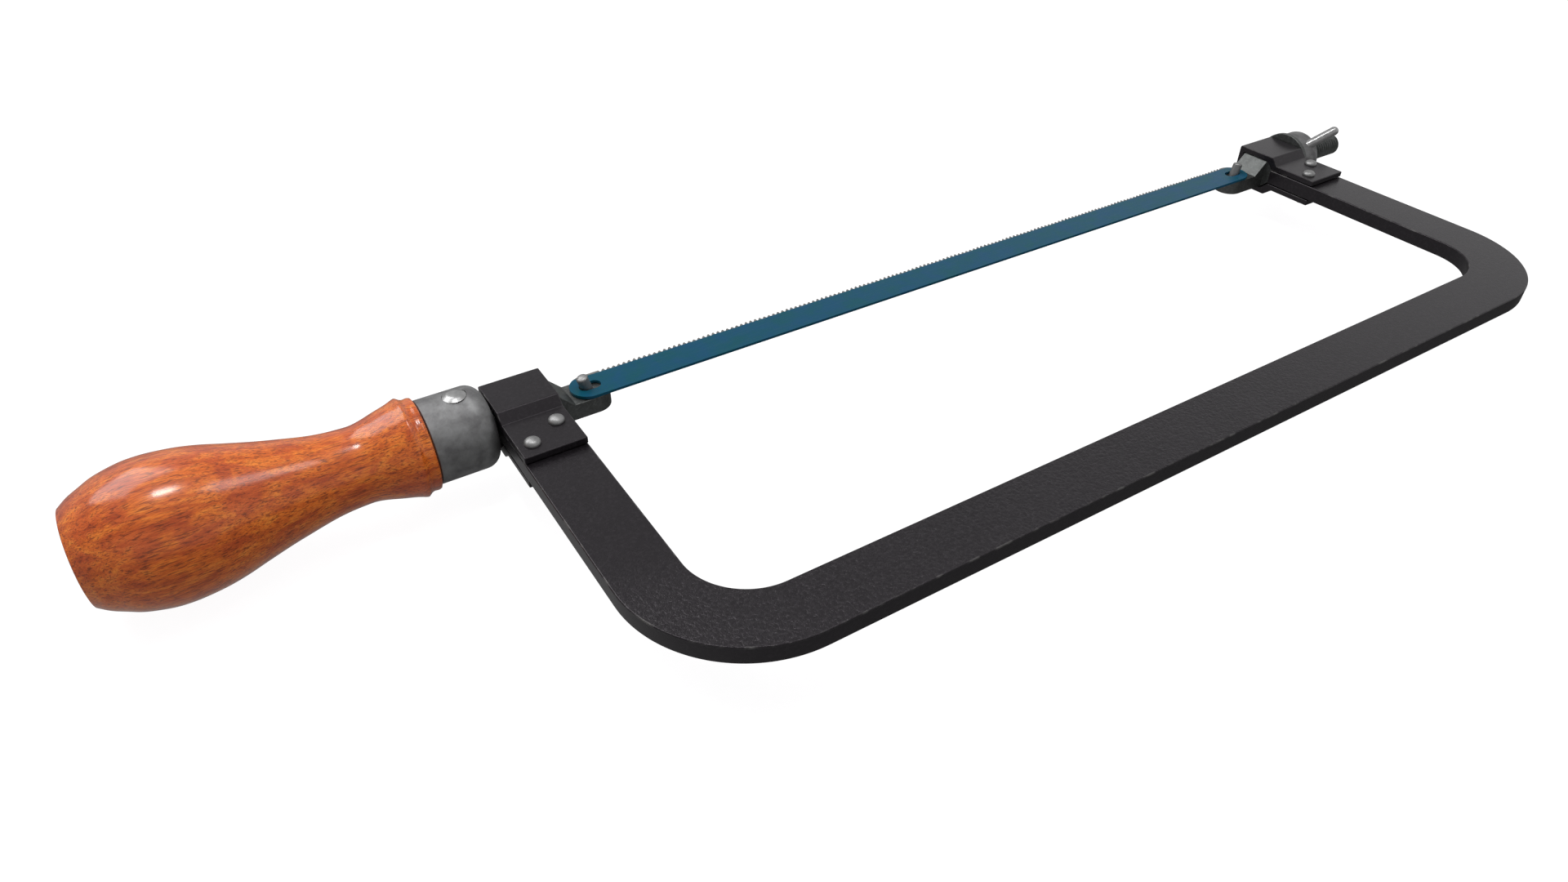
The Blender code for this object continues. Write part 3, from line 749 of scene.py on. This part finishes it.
def make_washer(material):
    low, high = span("tension_washer")
    section = ring_section(low.x, high.x, STUD_RADIUS + WASHER_BORE_GAP, high.y, WASHER_EDGE)
    disc = turned(section, ROUND_RING, closed=True)
    add_piece("tension_washer_disc", disc, "tension_washer", material)


def make_wing_nut(steel, bright):
    """A round hub with two forward-leaning rods let into its side, half a turn apart."""
    low, high = span("wing_nut_hub")
    radius = high.y
    section = ring_section(low.x, high.x, STUD_RADIUS + HUB_BORE_GAP, radius, HUB_EDGE, 5)
    hub = turned(section, ROUND_RING, closed=True)
    add_piece("wing_nut_barrel", hub, "wing_nut_hub", steel)
    rod = [(0, 0), (0, WING_RADIUS)] + dome(WING_DEPTH + WING_REACH, WING_RADIUS, WING_RADIUS, 10)
    for row, side in (("upper", 1), ("lower", -1)):
        radial = Vector((0, -side * math.cos(WING_TURN), side * math.sin(WING_TURN)))
        direction = radial * math.cos(WING_LEAN) + Vector((math.sin(WING_LEAN), 0, 0))
        foot = Vector((WING_ROOT_X, 0, 0)) + radial * radius - direction * WING_DEPTH
        wing = moved(turned(rod, ROUND_SMALL), foot, direction)
        add_piece(f"wing_rod_{row}", wing, f"wing_nut_rod_{row}", bright)


def make_ferrule(material):
    """A drawn cup with a round front edge, a rolled back lip and two spot faces for the rivet."""
    low, high = span("ferrule")
    radius = high.y
    inner = radius - FERRULE_WALL
    corner = (high.x - FERRULE_ROUND, radius - FERRULE_ROUND)
    outline = [(low.x, inner)]
    outline += arc((low.x + FERRULE_LIP, radius - FERRULE_LIP), FERRULE_LIP, 180, 90, 3)
    outline += arc(corner, FERRULE_ROUND, 90, 0, 16)
    outline += [(high.x, TANG_HOLE), (high.x - FERRULE_WALL, TANG_HOLE)]
    outline += arc(corner, FERRULE_ROUND - FERRULE_WALL, 0, 90, 8)
    ring = turned(outline, ROUND_RING, closed=True)
    rivet_x = middle("tang_rivet").x
    drills = []
    drill = [(SPOT_FACE_Z, 0), (SPOT_FACE_Z, SPOT_FACE_RADIUS)]
    drill += [(2 * radius, SPOT_FACE_RADIUS), (2 * radius, 0)]
    for side in (1, -1):
        drills.append(moved(turned(drill, ROUND_SMALL), (rivet_x, 0, 0), (0, 0, side)))
    add_piece("drawn_ferrule", combined(ring, drills), "ferrule", material)


def make_tang_rivet(material):
    """A low button head on top, a burr underneath, and the end that is closed over the burr."""
    low, high = span("tang_rivet")
    x = middle("tang_rivet").x
    radius = (high.x - low.x) / 2
    head = [(SPOT_FACE_Z + rise, radius + grown) for rise, grown in BUTTON_RIM]
    head += [(high.z - drop, radius * share) for drop, share in BUTTON_TOP]
    outline = [(0, 0), (0, TANG_RIVET_RADIUS), (SPOT_FACE_Z, TANG_RIVET_RADIUS)] + head
    button = moved(turned(outline, ROUND_SMALL), (x, 0, 0), (0, 0, 1))
    add_piece("tang_rivet_button", button, "tang_rivet", material)

    burr_low, burr_high = span("tang_rivet_burr")
    burr_radius = (burr_high.x - burr_low.x) / 2
    section = ring_section(-burr_high.z, -burr_low.z, TANG_RIVET_RADIUS + BURR_GAP, burr_radius, BURR_EDGE)
    burr = moved(turned(section, ROUND_SMALL, closed=True), (x, 0, 0), (0, 0, -1))
    add_piece("tang_rivet_washer", burr, "tang_rivet_burr", material)

    closed_end = dome(-burr_low.z, burr_low.z - low.z, burr_radius - TAIL_INSET, 8)
    outline = [(0, 0), (0, TANG_RIVET_RADIUS), (-burr_low.z, TANG_RIVET_RADIUS)] + closed_end
    tail = moved(turned(outline, ROUND_SMALL), (x, 0, 0), (0, 0, -1))
    add_piece("tang_rivet_tail", tail, "tang_rivet", material, stands_for=False)


def make_handle(wood):
    """A turned handle: swelling grip, waist, collar and lip, and a spigot inside the ferrule."""
    low, high = span("handle")
    butt, front = low.x, high.x
    inner = span("ferrule")[1].y - FERRULE_WALL - SPIGOT_GAP
    round_end = FERRULE_ROUND - FERRULE_WALL
    outline = [(butt, 0), (butt, HANDLE_BUTT_RADIUS * 0.5)]
    outline += [(butt + step, HANDLE_BUTT_RADIUS + grown) for step, grown in HANDLE_BUTT_RIM]
    outline += smooth_outline(HANDLE_BODY, 5)
    outline += [(HANDLE_FRONT_X, HANDLE_BODY[-1][1] - HANDLE_LIP_DROP), (HANDLE_FRONT_X, inner)]
    outline += [(front - round_end, inner), (front, inner - round_end), (front, 0)]
    add_piece("turned_handle", turned(outline, ROUND_HANDLE), "handle", wood)


# ---------------------------------------------------------------- materials


class Graph:
    """One material's nodes, with a short call for each kind that the finishes use."""

    def __init__(self, name):
        self.material = bpy.data.materials.new(name)
        self.material.use_nodes = True
        self.tree = self.material.node_tree
        self.shader = self.tree.nodes["Principled BSDF"]
        place = self.add("ShaderNodeTexCoord").outputs["Object"]
        self.place = self.mapped(place, (1 / MM,) * 3, tuple(-c / MM for c in ORIGIN))

    def add(self, kind):
        return self.tree.nodes.new(kind)

    def feed(self, socket, value):
        """Links a socket to an output, or sets its constant."""
        if isinstance(value, bpy.types.NodeSocket):
            self.tree.links.new(value, socket)
        elif isinstance(value, tuple) and len(value) == 3 and socket.type == "RGBA":
            socket.default_value = (*value, 1.0)
        else:
            socket.default_value = value

    def set(self, **values):
        """Sets inputs of the Principled shader; a name's underscores stand for spaces."""
        for name, value in values.items():
            self.feed(self.shader.inputs[name.replace("_", " ")], value)

    def mapped(self, vector, scale, shift=(0, 0, 0), turn=(0, 0, 0)):
        """A vector scaled, turned and then shifted."""
        node = self.add("ShaderNodeMapping")
        self.feed(node.inputs["Vector"], vector)
        node.inputs["Scale"].default_value = scale
        node.inputs["Location"].default_value = shift
        node.inputs["Rotation"].default_value = turn
        return node.outputs["Vector"]

    def noise(self, scale, detail=2.0, roughness=0.5, distortion=0.0, stretch=None, turn=(0, 0, 0),
              vector=None):
        """Noise in millimetres of the design; a stretch below 1 draws it out along that axis."""
        node = self.add("ShaderNodeTexNoise")
        source = vector or self.place
        if stretch or any(turn):
            source = self.mapped(source, stretch or (1, 1, 1), turn=turn)
        self.feed(node.inputs["Vector"], source)
        node.inputs["Scale"].default_value = scale
        node.inputs["Detail"].default_value = detail
        node.inputs["Roughness"].default_value = roughness
        node.inputs["Distortion"].default_value = distortion
        return node.outputs["Fac"]

    def ramp(self, value, *stops):
        """Colours or numbers between stops of (position, colour or number)."""
        node = self.add("ShaderNodeValToRGB")
        self.feed(node.inputs["Fac"], value)
        elements = node.color_ramp.elements
        while len(elements) < len(stops):
            elements.new(1.0)
        for element, (position, colour) in zip(elements, stops):
            element.position = position
            channels = colour if isinstance(colour, tuple) else (colour,) * 3
            element.color = (*channels, 1.0)
        return node.outputs["Color"]

    def math(self, operation, a, b=0.0):
        node = self.add("ShaderNodeMath")
        node.operation = operation
        self.feed(node.inputs[0], a)
        self.feed(node.inputs[1], b)
        return node.outputs["Value"]

    def mix(self, factor, a, b):
        node = self.add("ShaderNodeMix")
        node.data_type = "RGBA"
        self.feed(node.inputs["Factor"], factor)
        self.feed(node.inputs[6], a)
        self.feed(node.inputs[7], b)
        return node.outputs[2]

    def between(self, value, low, high):
        """A number that goes from 0 to 1 smoothly as value goes from low to high."""
        node = self.add("ShaderNodeMapRange")
        node.interpolation_type = "SMOOTHSTEP"
        self.feed(node.inputs["Value"], value)
        node.inputs["From Min"].default_value = low
        node.inputs["From Max"].default_value = high
        return node.outputs["Result"]

    def scaled(self, value, low, high):
        """A 0 to 1 value moved to the range from low to high."""
        node = self.add("ShaderNodeMapRange")
        self.feed(node.inputs["Value"], value)
        node.inputs["To Min"].default_value = low
        node.inputs["To Max"].default_value = high
        return node.outputs["Result"]

    def bump(self, height, depth):
        """A bump whose full height is depth millimetres."""
        node = self.add("ShaderNodeBump")
        self.feed(node.inputs["Height"], height)
        node.inputs["Strength"].default_value = 1.0
        node.inputs["Distance"].default_value = depth * MM
        return node.outputs["Normal"]

    def axes(self):
        node = self.add("ShaderNodeSeparateXYZ")
        self.feed(node.inputs["Vector"], self.place)
        return node.outputs["X"], node.outputs["Y"], node.outputs["Z"]

    def attribute(self, name):
        node = self.add("ShaderNodeAttribute")
        node.attribute_name = name
        return node.outputs["Fac"]

    def lathe_marks(self, scale):
        """Fine rings about the pull line, on round sides and on faces square to it."""
        x, y, z = self.axes()
        squares = self.math("ADD", self.math("MULTIPLY", y, y), self.math("MULTIPLY", z, z))
        radius = self.math("SQRT", squares)
        line = self.add("ShaderNodeCombineXYZ")
        self.feed(line.inputs["X"], self.math("ADD", x, radius))
        return self.noise(scale, detail=3, vector=line.outputs["Vector"])


def black_paint(name, relief_depth):
    """Black stove enamel with a fine orange-peel skin, greyer in patches along some edges: worn paint and a
    painted edge highlight.
    """
    g = Graph(name)
    peel = g.noise(0.95, detail=3, roughness=0.55, distortion=0.6)
    fine = g.noise(3.4, detail=2, roughness=0.6)
    cloud = g.noise(0.05, detail=3)
    x, y, z = g.axes()
    on_a_face = g.between(g.math("ABSOLUTE", z), *PEEL_STARTS_Z)
    heavy = g.math("MULTIPLY", g.between(x, *PEEL_FADES_X), g.between(y, *PEEL_FADES_Y))
    # lighter grey patches on the marked edges: worn paint and a painted edge highlight
    edge_wear_and_highlight = g.math("MULTIPLY", g.attribute("worn_and_highlit_edges"), g.between(g.noise(0.25, detail=4), 0.48, 0.7))
    base = g.ramp(cloud, (0.3, (0.0066, 0.0055, 0.0067)), (0.7, (0.0092, 0.0078, 0.0093)))
    base = g.mix(g.between(peel, 0.45, 0.7), base, (0.0145, 0.0126, 0.0147))
    g.set(Base_Color=g.mix(edge_wear_and_highlight, base, (0.07, 0.068, 0.066)))
    g.set(Roughness=g.math("ADD", g.scaled(fine, 0.25, 0.33), g.math("MULTIPLY", edge_wear_and_highlight, 0.1)))
    g.set(Metallic=0.0, IOR=1.42, Specular_Tint=(1.0, 0.93, 1.0))
    relief = g.math("MULTIPLY", peel, g.math("MULTIPLY", on_a_face, g.scaled(heavy, PEEL_LIGHTEST, 1.0)))
    g.set(Normal=g.bump(g.math("ADD", relief, g.math("MULTIPLY", fine, 0.08)), relief_depth))
    return g.material


def varnished_wood():
    """Orange-red hardwood under gloss varnish: streaked grain, red mottling and short dark pores."""
    g = Graph("varnished_wood_finish")
    grain = g.noise(1.0, detail=6, roughness=0.65, distortion=0.4, stretch=(0.085, 0.55, 0.55))
    mottle = g.noise(0.14, detail=4, roughness=0.6, distortion=0.5, stretch=(0.6, 1.0, 1.0))
    pores = g.noise(1.0, detail=3, roughness=0.6, stretch=(0.27, 2.5, 2.5))
    fine = g.noise(1.0, detail=2, roughness=0.5, stretch=(0.5, 5.0, 5.0))
    orange = g.ramp(grain, (0.30, (0.50, 0.080, 0.010)), (0.50, (0.76, 0.165, 0.018)),
                    (0.68, (0.92, 0.280, 0.036)))
    red = g.ramp(grain, (0.30, (0.38, 0.050, 0.010)), (0.50, (0.58, 0.100, 0.018)),
                 (0.70, (0.76, 0.165, 0.034)))
    colour = g.mix(g.between(mottle, 0.42, 0.60), orange, red)
    pore = g.between(pores, 0.51, 0.66)
    colour = g.mix(g.math("MULTIPLY", g.between(fine, 0.46, 0.66), 0.5), colour, (0.27, 0.042, 0.008))
    colour = g.mix(g.math("MULTIPLY", pore, 0.72), colour, (0.12, 0.022, 0.006))
    g.set(Base_Color=colour)
    g.set(Roughness=g.scaled(grain, 0.5, 0.36), IOR=1.5, Specular_IOR_Level=0.12)
    g.set(Coat_Weight=1.0, Coat_Roughness=0.17, Coat_IOR=1.42)
    g.set(Normal=g.bump(g.math("SUBTRACT", grain, pore), 0.02))
    g.set(Coat_Normal=g.bump(g.noise(0.22, detail=3, stretch=(0.5, 1.0, 1.0)), 0.05))
    return g.material


def dull_steel():
    """Turned steel gone dull, with a blotchy patina and rings from the lathe."""
    g = Graph("dull_steel_finish")
    blotch = g.noise(0.17, detail=5, roughness=0.6, distortion=0.25)
    speck = g.noise(2.4, detail=3, roughness=0.6)
    marks = g.lathe_marks(5.0)
    base = g.ramp(blotch, (0.36, (0.168, 0.166, 0.169)), (0.50, (0.226, 0.226, 0.228)),
                  (0.66, (0.285, 0.287, 0.289)))
    base = g.mix(g.math("MULTIPLY", g.between(speck, 0.58, 0.74), 0.3), base, (0.12, 0.116, 0.114))
    g.set(Base_Color=base, Metallic=0.9)
    g.set(Roughness=g.math("ADD", g.scaled(blotch, 0.66, 0.5), g.math("MULTIPLY", marks, 0.08)))
    height = g.math("ADD", g.math("MULTIPLY", marks, 0.6), g.math("MULTIPLY", speck, 0.3))
    g.set(Normal=g.bump(height, 0.02))
    return g.material


def dark_steel():
    """Forged steel, blackened by heat, with a smudged skin and a few pits."""
    g = Graph("dark_steel_finish")
    skin = g.noise(0.42, detail=5, roughness=0.6, distortion=0.5)
    smudge = g.between(g.noise(0.75, detail=4, roughness=0.65, distortion=0.8), 0.5, 0.66)
    pits = g.between(g.noise(2.0, detail=3, roughness=0.65), 0.62, 0.76)
    base = g.ramp(skin, (0.3, (0.085, 0.089, 0.087)), (0.7, (0.125, 0.131, 0.129)))
    base = g.mix(g.math("MULTIPLY", smudge, 0.5), base, (0.19, 0.197, 0.195))
    base = g.mix(g.math("MULTIPLY", pits, 0.5), base, (0.045, 0.04, 0.036))
    g.set(Base_Color=base, Metallic=0.85)
    g.set(Roughness=g.math("ADD", g.scaled(skin, 0.46, 0.36), g.math("MULTIPLY", smudge, 0.08)))
    height = g.math("SUBTRACT", g.math("MULTIPLY", skin, 0.8), g.math("MULTIPLY", pits, 0.3))
    g.set(Normal=g.bump(height, 0.06))
    return g.material


def zinc_plate(name, shade, shine):
    """Light grey zinc plate. Shade scales its colour, and shine is taken off its roughness."""
    g = Graph(name)
    cloud = g.noise(0.8, detail=4, roughness=0.6)
    speck = g.noise(4.5, detail=2, roughness=0.5)
    base = g.ramp(cloud, (0.3, (0.25 * shade,) * 3), (0.7, (0.34 * shade,) * 3))
    base = g.mix(g.math("MULTIPLY", g.between(speck, 0.6, 0.75), 0.4), base, (0.22, 0.21, 0.20))
    g.set(Base_Color=base, Metallic=0.9)
    g.set(Roughness=g.scaled(cloud, 0.5 - shine, 0.38 - shine))
    g.set(Normal=g.bump(g.math("ADD", cloud, g.math("MULTIPLY", speck, 0.3)), 0.03))
    return g.material


def blade_enamel():
    """Blue enamel clouded with teal, worn thin in streaks, and bare ground steel at the teeth."""
    g = Graph("blade_enamel_finish")
    _, y, _ = g.axes()
    gullet = span("blade")[1].y - TOOTH_HEIGHT
    streak = g.noise(1.0, detail=4, roughness=0.6, stretch=(0.1, 1.6, 1.6))
    cloud = g.noise(0.16, detail=3, roughness=0.55, distortion=0.4)
    lines = g.noise(1.0, detail=3, roughness=0.6, stretch=(0.08, 6.0, 6.0), turn=(0, 0, 0.05))
    scratch = g.between(lines, 0.6, 0.74)
    wavy_y = g.math("ADD", y, g.math("MULTIPLY", g.noise(0.9, detail=3), 0.5))
    bare = g.between(wavy_y, gullet + 0.15, gullet + 0.45)
    blue = g.ramp(cloud, (0.34, (0.0028, 0.071, 0.102)), (0.64, (0.0040, 0.065, 0.132)))
    blue = g.mix(g.math("MULTIPLY", g.between(streak, 0.5, 0.72), 0.35), blue, (0.008, 0.082, 0.142))
    blue = g.mix(g.math("MULTIPLY", scratch, 0.25), blue, (0.07, 0.11, 0.14))
    steel = g.ramp(streak, (0.3, (0.20, 0.195, 0.185)), (0.7, (0.34, 0.335, 0.325)))
    g.set(Base_Color=g.mix(bare, blue, steel), Metallic=g.math("MULTIPLY", bare, 0.85))
    g.set(Roughness=g.math("ADD", g.scaled(streak, 0.36, 0.26), g.math("MULTIPLY", bare, 0.12)))
    g.set(IOR=1.5, Specular_IOR_Level=0.13)
    g.set(Normal=g.bump(g.math("ADD", streak, g.math("MULTIPLY", scratch, 0.4)), 0.02))
    return g.material


# ---------------------------------------------------------------- studio


def area_light(name, place, target, size, power):
    """A soft box, placed and aimed in metres from the design's origin."""
    data = bpy.data.lights.new(name, "AREA")
    data.shape = "RECTANGLE"
    data.size, data.size_y = size
    data.energy = power
    light = bpy.data.objects.new(name, data)
    light.location = ORIGIN + Vector(place)
    light.rotation_euler = (Vector(place) - Vector(target)).to_track_quat("Z", "Y").to_euler()
    bpy.context.scene.collection.objects.link(light)


def make_world():
    """A pale dome: brightest to the wing nut's side above the horizon, and to the handle's side below it."""
    world = bpy.data.worlds.new("studio_dome")
    bpy.context.scene.world = world
    world.use_nodes = True
    tree = world.node_tree
    background = tree.nodes["Background"]
    split = tree.nodes.new("ShaderNodeSeparateXYZ")
    tree.links.new(tree.nodes.new("ShaderNodeTexCoord").outputs["Generated"], split.inputs["Vector"])

    def level_range(source, low, high, to_low=0.0, to_high=1.0):
        node = tree.nodes.new("ShaderNodeMapRange")
        tree.links.new(source, node.inputs["Value"])
        node.inputs["From Min"].default_value = low
        node.inputs["From Max"].default_value = high
        node.inputs["To Min"].default_value = to_low
        node.inputs["To Max"].default_value = to_high
        return node.outputs["Result"]

    ramp = tree.nodes.new("ShaderNodeValToRGB")
    elements = ramp.color_ramp.elements
    while len(elements) < len(DOME_LEVELS):
        elements.new(1.0)
    for element, (up, level) in zip(elements, DOME_LEVELS):
        element.position = (up + 1) / 2
        element.color = (level, level, level, 1.0)
    tree.links.new(level_range(split.outputs["Z"], -1.0, 1.0), ramp.inputs["Fac"])
    tree.links.new(ramp.outputs["Color"], background.inputs["Color"])

    blend = tree.nodes.new("ShaderNodeMix")
    tree.links.new(level_range(split.outputs["Z"], *DOME_HORIZON), blend.inputs["Factor"])
    tree.links.new(level_range(split.outputs["X"], -1.0, 1.0, *DOME_BELOW), blend.inputs[2])
    tree.links.new(level_range(split.outputs["X"], -1.0, 1.0, *DOME_ABOVE), blend.inputs[3])
    tree.links.new(blend.outputs[0], background.inputs["Strength"])


def make_floor():
    """A round pale paper sweep that the camera sees. It is left out of reflections and bounced light."""
    radius, bend, wall = SWEEP_RADIUS, SWEEP_BEND, SWEEP_WALL
    outline = [(0, 0), (0, radius)]
    outline += [(bend - bend * math.cos(a), radius + bend * math.sin(a))
                for a in (math.radians(step) for step in range(10, 91, 10))]
    bm = moved(turned(outline + [(wall, radius + bend)], ROUND_RING), direction=(0, 0, 1))
    mesh = bpy.data.meshes.new("paper_sweep")
    bm.to_mesh(mesh)
    bm.free()
    mesh.shade_smooth()
    floor = bpy.data.objects.new("paper_sweep", mesh)
    floor.location.z = CAD_BOX[0].z
    bpy.context.scene.collection.objects.link(floor)
    g = Graph("pale_paper")
    tone = g.ramp(g.noise(0.4, detail=3), (0.3, 0.11), (0.7, 0.13))
    g.set(Base_Color=tone, Roughness=0.9)
    g.set(Emission_Color=(1.0, 0.995, 1.0), Emission_Strength=0.95)
    mesh.materials.append(g.material)
    floor.visible_glossy = False
    floor.visible_diffuse = False
    floor.visible_shadow = False


def make_lights():
    for box in SOFT_BOXES:
        area_light(*box)


def make_camera():
    data = bpy.data.cameras.new("camera")
    data.lens = CAMERA_LENS
    data.sensor_width = CAMERA_SENSOR
    camera = bpy.data.objects.new("camera", data)
    camera.location = ORIGIN + Vector(CAMERA_PLACE) * MM
    camera.rotation_euler = Euler((math.radians(CAMERA_TILT), 0.0, math.radians(CAMERA_PAN)))
    bpy.context.scene.collection.objects.link(camera)
    bpy.context.scene.camera = camera


def main():
    bar_paint = black_paint("bar_paint_finish", BAR_PEEL_DEPTH)
    strap_paint = black_paint("strap_paint_finish", STRAP_PEEL_DEPTH)
    wood, steel, forged, enamel = varnished_wood(), dull_steel(), dark_steel(), blade_enamel()
    zinc = zinc_plate("zinc_plate_finish", 0.94, -0.03)
    bright_zinc = zinc_plate("bright_zinc_finish", 1.25, 0.11)
    make_frame_bar(bar_paint)
    for node in ("rear_strap", "front_strap"):
        make_strap(node, strap_paint)
    make_strap_rivets(zinc)
    make_holders(forged)
    make_stud(forged)
    make_pins(zinc)
    make_blade(enamel)
    make_washer(forged)
    make_wing_nut(steel, bright_zinc)
    make_ferrule(steel)
    make_tang_rivet(bright_zinc)
    make_handle(wood)
    make_world()
    make_floor()
    make_lights()
    make_camera()
    bpy.context.scene.view_settings.view_transform = "Standard"


main()
